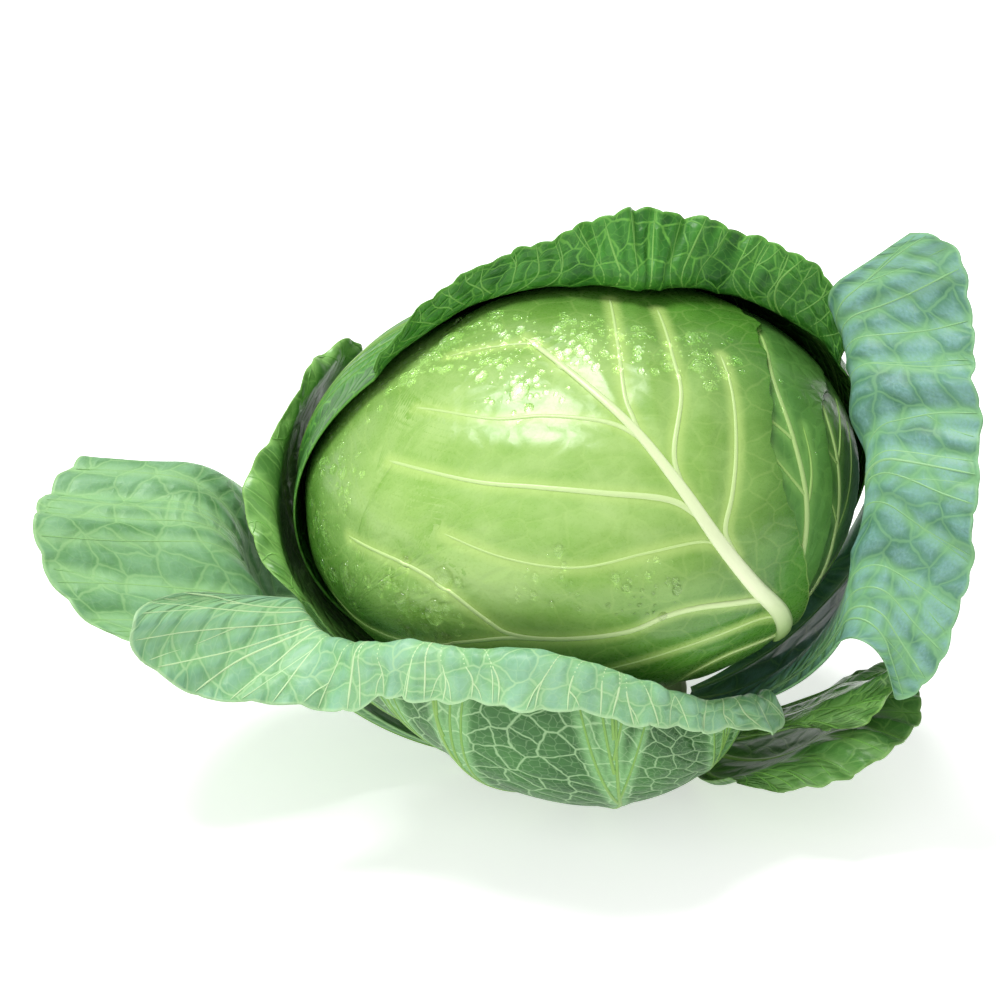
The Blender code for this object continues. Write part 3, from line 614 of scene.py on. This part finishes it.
# The hood leaf: a vivid green leaf that clasps the back of the head and folds its rim back over
# the top. Every wrapper leaf follows this one rule: it hugs the head from the stem to its fold
# and then stands free. Rows of values run across the leaf, from one side margin to the other.
STEM_RADIUS, STEM_TOP = 0.0150, 0.05
STEM_CLEAR, LEAF_BASE_CLEAR = 0.0013, 0.0016
PIVOT = np.array((0.0, 0.0, 0.095))
PIVOT_TO_NECK = 0.064
FLOOR_CLEAR, FLOOR_SOFTNESS, FLOOR_LEAST = 0.0008, 0.0003, 0.00005
FREE_ARCH = 0.0006
SLOPE_STEP = 2e-3
HALF_THICK = 0.0005
VEIN_SEAT = 0.00046
VEIN_STEP = 0.0013
VEIN_END, FORK_END = 1.97, 1.96
UNDER_RELIEF, UPPER_RELIEF, UPPER_WIDTH = 0.55, 0.26, 0.8
FAN_REACH = 0.78
SIDE_VEIN = 0.0007
FORK_CHANCE = 0.45


def head_reach(direction):
    """Distance from the pivot to the face of the head along unit directions."""
    d = direction @ HEAD_AXES.T / HEAD_RADII
    o = (PIVOT - HEAD_CENTRE) @ HEAD_AXES.T / HEAD_RADII
    a = (d * d).sum(-1)
    b = (d * o).sum(-1)
    return (-b + np.sqrt(b * b - a * ((o * o).sum() - 1.0))) / a


def head_out(p):
    """The way straight out from the head at a point."""
    return unit(((p - HEAD_CENTRE) @ HEAD_AXES.T / HEAD_RADII ** 2) @ HEAD_AXES)


def arc(length, turn):
    """How far ahead and outward a line goes that bends evenly by turn."""
    turn = np.where(np.abs(turn) < 1e-4, 1e-4, turn)
    return length * np.sin(turn) / turn, length * (1.0 - np.cos(turn)) / turn


def hugging(leaf, x, u):
    """Points of the clasping part, u from 0 at the stem to 1 at the fold."""
    start = np.arcsin((STEM_RADIUS + LEAF_BASE_CLEAR) / (PIVOT_TO_NECK + leaf["base_gap"]))
    alpha = start + (np.radians(along(leaf["fold"], x)) - start) * u
    wide = np.where(x < 0, leaf["spread"][0], leaf["spread"][1])
    share = ease(u / leaf.get("widen", 0.5))
    belly = leaf.get("belly", 0.0) * np.maximum(x, 0.0) * np.sin(np.pi * u)
    phi = np.radians(leaf["bearing"] + x * (leaf["base_spread"] + (wide - leaf["base_spread"]) * share) + belly)
    d = np.stack((np.cos(phi) * np.sin(alpha), np.sin(phi) * np.sin(alpha), -np.cos(alpha)), -1)
    gap = leaf["base_gap"] + (along(leaf["lift"], x) - leaf["base_gap"]) * u ** leaf.get("lift_power", 1.0)
    gap = gap + along(leaf.get("sag", 0.0), x) * np.sin(np.pi * u ** 0.8)
    return PIVOT + (head_reach(d) + gap)[..., None] * d


def sheet(leaf, x, q):
    """The smooth leaf: q from 0 at the stem to 1 at the fold and 2 at the margin."""
    x, q = np.broadcast_arrays(np.asarray(x, float), np.asarray(q, float))
    clasp = hugging(leaf, x, np.minimum(q, 1.0))
    one = np.ones_like(x)
    end = hugging(leaf, x, one)
    ahead = unit(end - hugging(leaf, x, one * 0.98))
    gather = along(leaf.get("gather", 0.0), x)[..., None]
    mid_end = hugging(leaf, np.zeros(1), np.ones(1))[0]
    mid_ahead = unit(mid_end - hugging(leaf, np.zeros(1), np.full(1, 0.98))[0])
    ahead = unit((1 - gather) * ahead + gather * mid_ahead)
    out = (1 - gather) * head_out(end) + gather * head_out(mid_end)
    out = unit(out - (out * ahead).sum(-1, keepdims=True) * ahead)
    free = along(leaf["free"], x) * np.sqrt(1.0 - leaf.get("rounding", 0.9) * np.minimum(np.abs(x), 1.0) ** 8)
    turn = np.radians(along(leaf["turn"], x))
    roll = np.clip(np.abs(turn) * leaf["roll"], 1e-5, 0.9 * free)
    s = np.maximum(q - 1.0, 0.0) * free
    first = np.minimum(s, roll)
    rolled_ahead, rolled_out = arc(first, turn * first / roll)
    rest = np.maximum(s - roll, 0.0)
    forward = rolled_ahead + rest * np.cos(turn)
    outward = rolled_out + rest * np.sin(turn)
    return clasp + forward[..., None] * ahead + outward[..., None] * out


def margin_run(leaf):
    """Places across the leaf, and how far along the free margin each one lies, from -1 to 1."""
    x = np.linspace(-1, 1, 161)
    walk = walked(sheet(leaf, x, np.full(161, 1.7)))
    return x, 2 * walk / walk[-1] - 1


def leaf_skin(leaf, x, q):
    """The leaf's middle surface with its waves and frilled margin, and its normals. It stays above
    the floor and clear of the stem."""
    x, q = np.broadcast_arrays(np.asarray(x, float), np.asarray(q, float))
    lobes, depth = leaf["scallops"]
    run = np.interp(x, *leaf["run"])
    notch = (1 - np.abs(np.sin(lobes * run * np.pi + 0.6 * np.sin(3.1 * run))) ** 0.8) + 0.5 * (
        1 + np.sin(lobes * 0.37 * run * 6.3 + 1.0))
    cut = depth * notch / np.maximum(along(leaf["free"], x), 0.008)
    q = np.where(q > 1, 1 + (q - 1) * (1 - np.clip(cut, 0, 0.4) * ease((q - 1.0) / 0.9)), q)
    across = sheet(leaf, x + SLOPE_STEP, q) - sheet(leaf, x - SLOPE_STEP, q)
    up = sheet(leaf, x, np.clip(q + SLOPE_STEP, 0, 2)) - sheet(leaf, x, np.clip(q - SLOPE_STEP, 0, 2))
    normal = unit(np.cross(across, up))
    size, count, phase = leaf["wave"]
    edge = ease((q - 0.7) / 1.3) ** 1.5
    side = 0.6 * ease((np.abs(x) - 0.6) / 0.4) * ease(q / 0.8)
    wave = size * np.maximum(edge, side) * (
        np.sin(count * x * np.pi + phase) + 0.4 * np.sin(2.3 * count * x * np.pi + 2 * phase + 4 * q))
    wave = wave + FREE_ARCH * np.sin(np.pi * np.clip(q - 1.0, 0.0, 1.0))
    frill = leaf.get("frill", 0.0007) * ease((q - 1.35) / 0.65) * np.sin(
        lobes * run * np.pi * 1.7 + 2 * np.sin(5 * run) + 1.0)
    place = sheet(leaf, x, q) + (wave + frill)[..., None] * normal
    low = place[..., 2] - FLOOR_CLEAR
    place[..., 2] += 0.5 * (np.sqrt(low * low + FLOOR_SOFTNESS ** 2) - low)
    away = np.hypot(place[..., 0], place[..., 1])
    push = np.where(place[..., 2] < STEM_TOP, np.maximum(STEM_RADIUS + STEM_CLEAR - away, 0.0), 0.0)
    place[..., :2] += push[..., None] * unit(place[..., :2])
    return place, normal


def vein_on(leaf, route, start, end, side):
    """A vein along a route of (x, q) on the leaf's under face (side 1) or its upper face (side -1)."""
    route = np.asarray(route, float)
    k = np.linspace(-1, 1, 60)
    x, q = along(route[:, 0], k), np.clip(along(route[:, 1], k), 0.01, 1.985)
    walk = walked(leaf_skin(leaf, x, q)[0])
    n = int(np.clip(walk[-1] / VEIN_STEP, 5, 150))
    even = np.linspace(0, walk[-1], n)
    x, q = np.interp(even, walk, x), np.interp(even, walk, q)
    place, normal = leaf_skin(leaf, x, q)
    share = np.linspace(0, 1, n)
    half = (start + (end - start) * share ** 0.7) * np.clip((1 - share) / 0.05 + 0.35, 0, 1)
    return place + side * VEIN_SEAT * normal, normal * side, half


def fanned_veins(leaf):
    """Main veins up the leaf's fan, side veins from them to even spots on the margin, and their forks."""
    rng = np.random.default_rng(leaf["seed"])
    fan = np.linspace(-FAN_REACH, FAN_REACH, leaf["fan"])
    pitch, count = fan[1] - fan[0], leaf["veins"]
    evenly = np.linspace(-0.95, 0.95, count) + rng.uniform(-0.3, 0.3, count) / count
    spots = np.interp(evenly, leaf["run"][1], leaf["run"][0])
    routes = []
    for spot in fan:
        wander = rng.uniform(-0.02, 0.02, 4)
        route = [(spot, 0.02)] + [(spot + w, q) for w, q in zip(wander, (0.6, 1.0, 1.5, VEIN_END))]
        routes.append((route, leaf["main"] * (1.0 if abs(spot) < 0.01 else 0.7), 0.0004))
    for spot in spots:
        parent = fan[int(np.argmin(np.abs(fan - spot)))]
        off = (spot - parent) / pitch
        if abs(off) < 0.06:
            continue
        q0 = np.clip(0.98 - 1.25 * abs(off) + rng.uniform(-0.05, 0.05), 0.25, 0.95)
        t = np.linspace(0, 1, 6)
        x = parent + (spot - parent) * (1 - (1 - t) ** 1.9) + rng.uniform(-0.006, 0.006, 6) * (t > 0)
        q = q0 + (VEIN_END - q0) * t
        routes.append((list(zip(x, q)), SIDE_VEIN, 0.0003))
        apart = np.sort(np.abs(spots - spot))[1]
        for sign in (-1, 1):
            if rng.uniform() < FORK_CHANCE:
                at = rng.uniform(0.55, 0.85)
                xa = np.interp(at, t, x)
                qa = q0 + (VEIN_END - q0) * at
                reach = sign * rng.uniform(0.25, 0.45) * apart
                fork = [(xa, qa), (xa + 0.6 * reach, qa + 0.4 * (VEIN_END - qa)), (xa + reach, FORK_END)]
                routes.append((fork, 0.55 * SIDE_VEIN, 0.0002))
    return routes


def wrapper_leaf(name, leaf, blade_look, vein_look):
    """The blade with its tissue puffed up between its veins, and the veins on both of its faces."""
    columns, clasp_rows, free_rows = leaf["grid"]
    puff, cell = leaf["puff"]
    leaf["run"] = margin_run(leaf)
    routes = fanned_veins(leaf)
    x = np.linspace(-1, 1, columns)[:, None]
    q = np.concatenate((np.linspace(0, 1, clasp_rows + 1), 1 + (np.arange(1, free_rows + 1) / free_rows)))[None, :]
    middle, normal = leaf_skin(leaf, x, q)
    shape = middle.shape[:2]
    under = [vein_on(leaf, route, a, b, 1) for route, a, b in routes]
    upper = [vein_on(leaf, route, UPPER_WIDTH * a, b, -1) for route, a, b in routes]
    far = nearest(middle.reshape(-1, 3), np.concatenate([v[0] for v in under])).reshape(shape)
    middle = middle - (puff * ease((far - 0.0004) / cell))[..., None] * normal
    columns_walk = walked(middle)
    columns_walk = columns_walk - columns_walk[columns // 2]
    rows_walk = walked(middle, 1)
    to_side = np.minimum(columns_walk - columns_walk[:1], columns_walk[-1:] - columns_walk)
    margin = np.minimum(rows_walk[:, -1:] - rows_walk, to_side)
    half = (HALF_THICK * (0.62 + 0.38 * ease(margin / 0.012)))[..., None]
    outer, inner = middle + half * normal, middle - half * normal
    for face in (outer, inner):
        face[..., 2] = np.maximum(face[..., 2], FLOOR_LEAST)
    size = shape[0] * shape[1]
    quads, border = grid(*shape)
    faces = [face for a, b, c, d in quads for face in ((a, b, c, d), (size + a, size + d, size + c, size + b))]
    faces += [(n, p, size + p, size + n) for p, n in zip(border, border[1:] + border[:1])]
    place = np.stack((columns_walk, rows_walk[shape[0] // 2][None, :] + 0 * columns_walk, 0 * columns_walk), -1)
    place = place.reshape(-1, 3)
    points = np.concatenate((outer.reshape(-1, 3), inner.reshape(-1, 3)))
    blade = piece(name + "_blade", points, faces, [blade_look], {
        "flat_place": np.concatenate((place, place)),
        "upper_face_and_painted_light": np.concatenate((np.zeros(size), np.ones(size))),
        "vein_distance": np.tile(far.reshape(-1), 2),
        "margin_distance": np.tile(margin.reshape(-1), 2)})
    under_veins = lay_veins(name + "_under_veins", under, UNDER_RELIEF, green_rib)
    upper_veins = lay_veins(name + "_upper_veins", upper, UPPER_RELIEF, vein_look)
    for part in (blade, under_veins, upper_veins):
        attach(part, "root")
        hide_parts(name)


# Bearing, spread, fold and turn are in degrees and lengths in metres. The grid is a blade's
# columns, its rows up to the fold and its rows beyond.
hood = dict(
    bearing=95, base_spread=30, spread=(78, 86), base_gap=0.0050, lift_power=1.5, roll=0.005,
    lift=(0.0065, 0.0052, 0.0050, 0.0045, 0.0050, 0.0060, 0.0075), fold=(123, 147, 162, 166, 165, 149, 118),
    turn=(50, 109, 123, 125, 121, 106, 90), free=(0.028, 0.026, 0.030, 0.0325, 0.031, 0.0195, 0.014),
    wave=(0.0012, 6, 0), scallops=(13, 0.0011), puff=(0.0009, 0.006), grid=(210, 66, 44),
    seed=23, fan=5, veins=24, main=0.0022)
hood_tissue = blade_material(
    "hood_tissue", ((50, 118, 36), (24, 80, 18)), ((62, 118, 50), (42, 92, 36)), (104, 168, 66), (72, 142, 48),
    cells=105.0, net_strength=0.80, gloss=0.30, coat=0.10, bump=1.5)
hood_vein = vein_material("hood_vein", (158, 202, 108), (110, 170, 76), 0.0012)
green_rib = vein_material("green_rib", (150, 186, 96), (100, 150, 62), 0.0014)
wrapper_leaf("hood_leaf", hood, hood_tissue, hood_vein)

# The curl leaf: a soft, crumpled leaf at the left of the head, its rim rolled in and out.
# It is thin and yellow-green, and grows from the stem under the head's left side.
curl = dict(
    bearing=168, base_spread=18, spread=(22, 26), base_gap=0.0095, lift_power=1.5, roll=0.006,
    lift=(0.0135, 0.0130, 0.0125, 0.0125, 0.0125), fold=(103, 103, 98, 90, 80),
    turn=(60, 110, 50, 120, 60), free=(0.005, 0.008, 0.006, 0.014, 0.010),
    wave=(0.0015, 3, 1), scallops=(5, 0.0008), puff=(0.0010, 0.006), grid=(80, 60, 24),
    seed=5, fan=3, veins=9, main=0.0016)
curl_tissue = blade_material(
    "curl_tissue", ((98, 152, 70), (64, 116, 44)), ((92, 142, 70), (60, 110, 44)), (140, 190, 100), (128, 180, 92),
    cells=130.0, net_strength=0.6, gloss=0.24, coat=0.25, bump=1.3)
wrapper_leaf("curl_leaf", curl, curl_tissue, hood_vein)

# The right leaf: a broad leaf that stands up at the right, blue-green under a matt bloom, its
# tissue swollen into big pillows between sunken veins.
right = dict(
    bearing=-25, base_spread=34, spread=(17, 38), base_gap=0.0165, lift_power=1.3, roll=0.010, widen=0.6,
    lift=(0.0200, 0.0100, 0.0100, 0.0105, 0.0200), fold=(73, 88, 108, 125, 137),
    turn=(150, 118, 106, 105, 88), free=(0.050, 0.049, 0.048, 0.053, 0.062), rounding=0.5, gather=0.3, belly=12,
    wave=(0.0015, 4, 0), scallops=(9, 0.0012), puff=(0.0030, 0.011), grid=(110, 60, 76),
    seed=8, fan=3, veins=11, main=0.0016)
# Its pale blue bloom on the pillow tops is partly a painted highlight.
right_tissue = blade_material(
    "right_tissue", ((96, 146, 118), (62, 112, 82)), ((70, 122, 76), (46, 96, 50)), (132, 182, 128),
    (122, 176, 118), bloom=(136, 178, 184), bloom_amount=0.80, cells=85.0, net_strength=0.35, gloss=0.40,
    coat=0.04, bump=1.5)
right_vein = vein_material("right_vein", (166, 202, 150), (124, 176, 120), 0.0014)
wrapper_leaf("right_leaf", right, right_tissue, right_vein)

# The small leaf: a ruffled young leaf low at the right, wet and dark, beside the stem.
# Its tissue is thin and glossy and its margin is frilled more deeply than the others.
small = dict(
    bearing=-33, base_spread=8, spread=(11, 12), base_gap=0.0230, roll=0.015, widen=0.8,
    lift=(0.0290, 0.0290, 0.0290, 0.0290, 0.0290), fold=(47, 52, 55, 54, 50),
    turn=(50, 20, 0, 25, 50), free=(0.016, 0.031, 0.040, 0.034, 0.018),
    wave=(0.0022, 2, 1), scallops=(4, 0.0034), frill=0.0028, puff=(0.0008, 0.005), grid=(56, 44, 20),
    seed=9, fan=3, veins=7, main=0.0014)
small_tissue = blade_material(
    "small_tissue", ((88, 140, 66), (54, 104, 42)), ((76, 126, 66), (50, 98, 42)), (136, 184, 96), (120, 172, 88),
    cells=150.0, net_strength=0.6, gloss=0.20, coat=0.4, bump=1.3)
wrapper_leaf("small_leaf", small, small_tissue, hood_vein)

# The front leaf: the widest wrapper leaf, under the front of the head. Its rim rolls outwards
# into a pale band crossed by cream veins, and its glaucous green under face shows below.
front = dict(
    bearing=-132, base_spread=26, spread=(31, 83), base_gap=0.0225, roll=0.0045,
    lift=(0.017, 0.018, 0.018, 0.017, 0.016, 0.014, 0.015), sag=(0.0, 0.003, 0.007, 0.014, 0.018, 0.016, 0.008),
    fold=(82, 80, 83, 85.5, 84, 62, 49), turn=(54, 98, 172, 180, 172, 143, 118),
    free=(0.110, 0.040, 0.0304, 0.0283, 0.0261, 0.019, 0.030),
    wave=(0.0012, 7, 0), scallops=(11, 0.0014), puff=(0.0009, 0.006), grid=(220, 70, 46),
    seed=31, fan=5, veins=25, main=0.0016)
front_tissue = blade_material(
    "front_tissue", ((140, 188, 150), (102, 158, 108)), ((58, 112, 48), (38, 84, 34)), (176, 212, 158),
    (132, 184, 120), bloom=(160, 198, 184), bloom_amount=0.40, cells=105.0, net_strength=0.50, gloss=0.36,
    coat=0.06, bump=1.4)
front_vein = vein_material("front_vein", (214, 230, 184), (184, 216, 164), 0.0012)
wrapper_leaf("front_leaf", front, front_tissue, front_vein)

# The rear leaf: a flat, dark leaf that lies low behind the head. It is firm, with a plain
# green face, and grows from the stem below the hood leaf.
rear = dict(
    bearing=112, base_spread=24, spread=(42, 36), base_gap=0.0225, roll=0.02, widen=0.6, lift=0.022, sag=0.014,
    fold=(44, 58, 62, 60, 46), turn=(40, 55, 60, 55, 40), free=(0.015, 0.032, 0.036, 0.032, 0.015),
    wave=(0.002, 4, 1), scallops=(9, 0.0012), puff=(0.0012, 0.008), grid=(100, 50, 36),
    seed=41, fan=3, veins=13, main=0.0022)
rear_tissue = blade_material(
    "rear_tissue", ((76, 128, 68), (50, 100, 44)), ((78, 132, 76), (56, 108, 56)), (124, 172, 96), (110, 162, 88),
    cells=110.0, net_strength=0.5, gloss=0.34, coat=0.08, bump=1.3)
wrapper_leaf("rear_leaf", rear, rear_tissue, right_vein)

# The left leaf: a broad leaf that spreads out at the left and shows its upper face, green with
# a net of pale veins that meet beside the head.
left = dict(
    bearing=180, base_spread=18, spread=(25, 16), base_gap=0.0285, roll=0.026,
    lift=(0.025, 0.026, 0.026, 0.025, 0.025), sag=0.007, fold=(70.4, 82.2, 82, 77, 69),
    turn=(52, 78, 72, 66, 54), free=(0.046, 0.0635, 0.080, 0.085, 0.080), gather=(0.85, 0.85, 0.85, 0.5, 0.0),
    wave=(0.002, 3, 2), scallops=(6, 0.0016), puff=(0.0014, 0.008), grid=(110, 44, 60),
    seed=17, fan=3, veins=15, main=0.0014)
left_tissue = blade_material(
    "left_tissue", ((124, 174, 120), (84, 138, 76)), ((82, 134, 78), (56, 108, 54)), (160, 202, 140),
    (146, 194, 130), bloom=(150, 190, 168), bloom_amount=0.35, cells=90.0, net_strength=0.40, gloss=0.36,
    coat=0.06, bump=1.2)
left_vein = vein_material("left_vein", (184, 214, 160), (136, 186, 118), 0.0016)
wrapper_leaf("left_leaf", left, left_tissue, left_vein)

# The low leaf: the outermost leaf under the right-hand side, dark green with a pale rib.
# It is firm and nearly flat, and spreads low over the floor from the foot of the stem.
low = dict(
    bearing=-36, base_spread=18, spread=(26, 36), base_gap=0.0285, roll=0.03, widen=0.6,
    lift=(0.037, 0.0385, 0.0385, 0.0385, 0.038), sag=0.006, fold=(36, 44, 48, 48, 46),
    turn=(55, 60, 50, 40, 40), free=(0.022, 0.030, 0.034, 0.028, 0.018),
    wave=(0.0015, 4, 0), scallops=(8, 0.0012), puff=(0.0010, 0.007), grid=(90, 48, 32),
    seed=43, fan=3, veins=11, main=0.0022)
low_tissue = blade_material(
    "low_tissue", ((88, 140, 66), (52, 104, 42)), ((70, 120, 60), (46, 90, 40)), (126, 170, 92), (114, 162, 86),
    cells=110.0, net_strength=0.5, gloss=0.30, coat=0.12, bump=1.3)
wrapper_leaf("low_leaf", low, low_tissue, hood_vein)
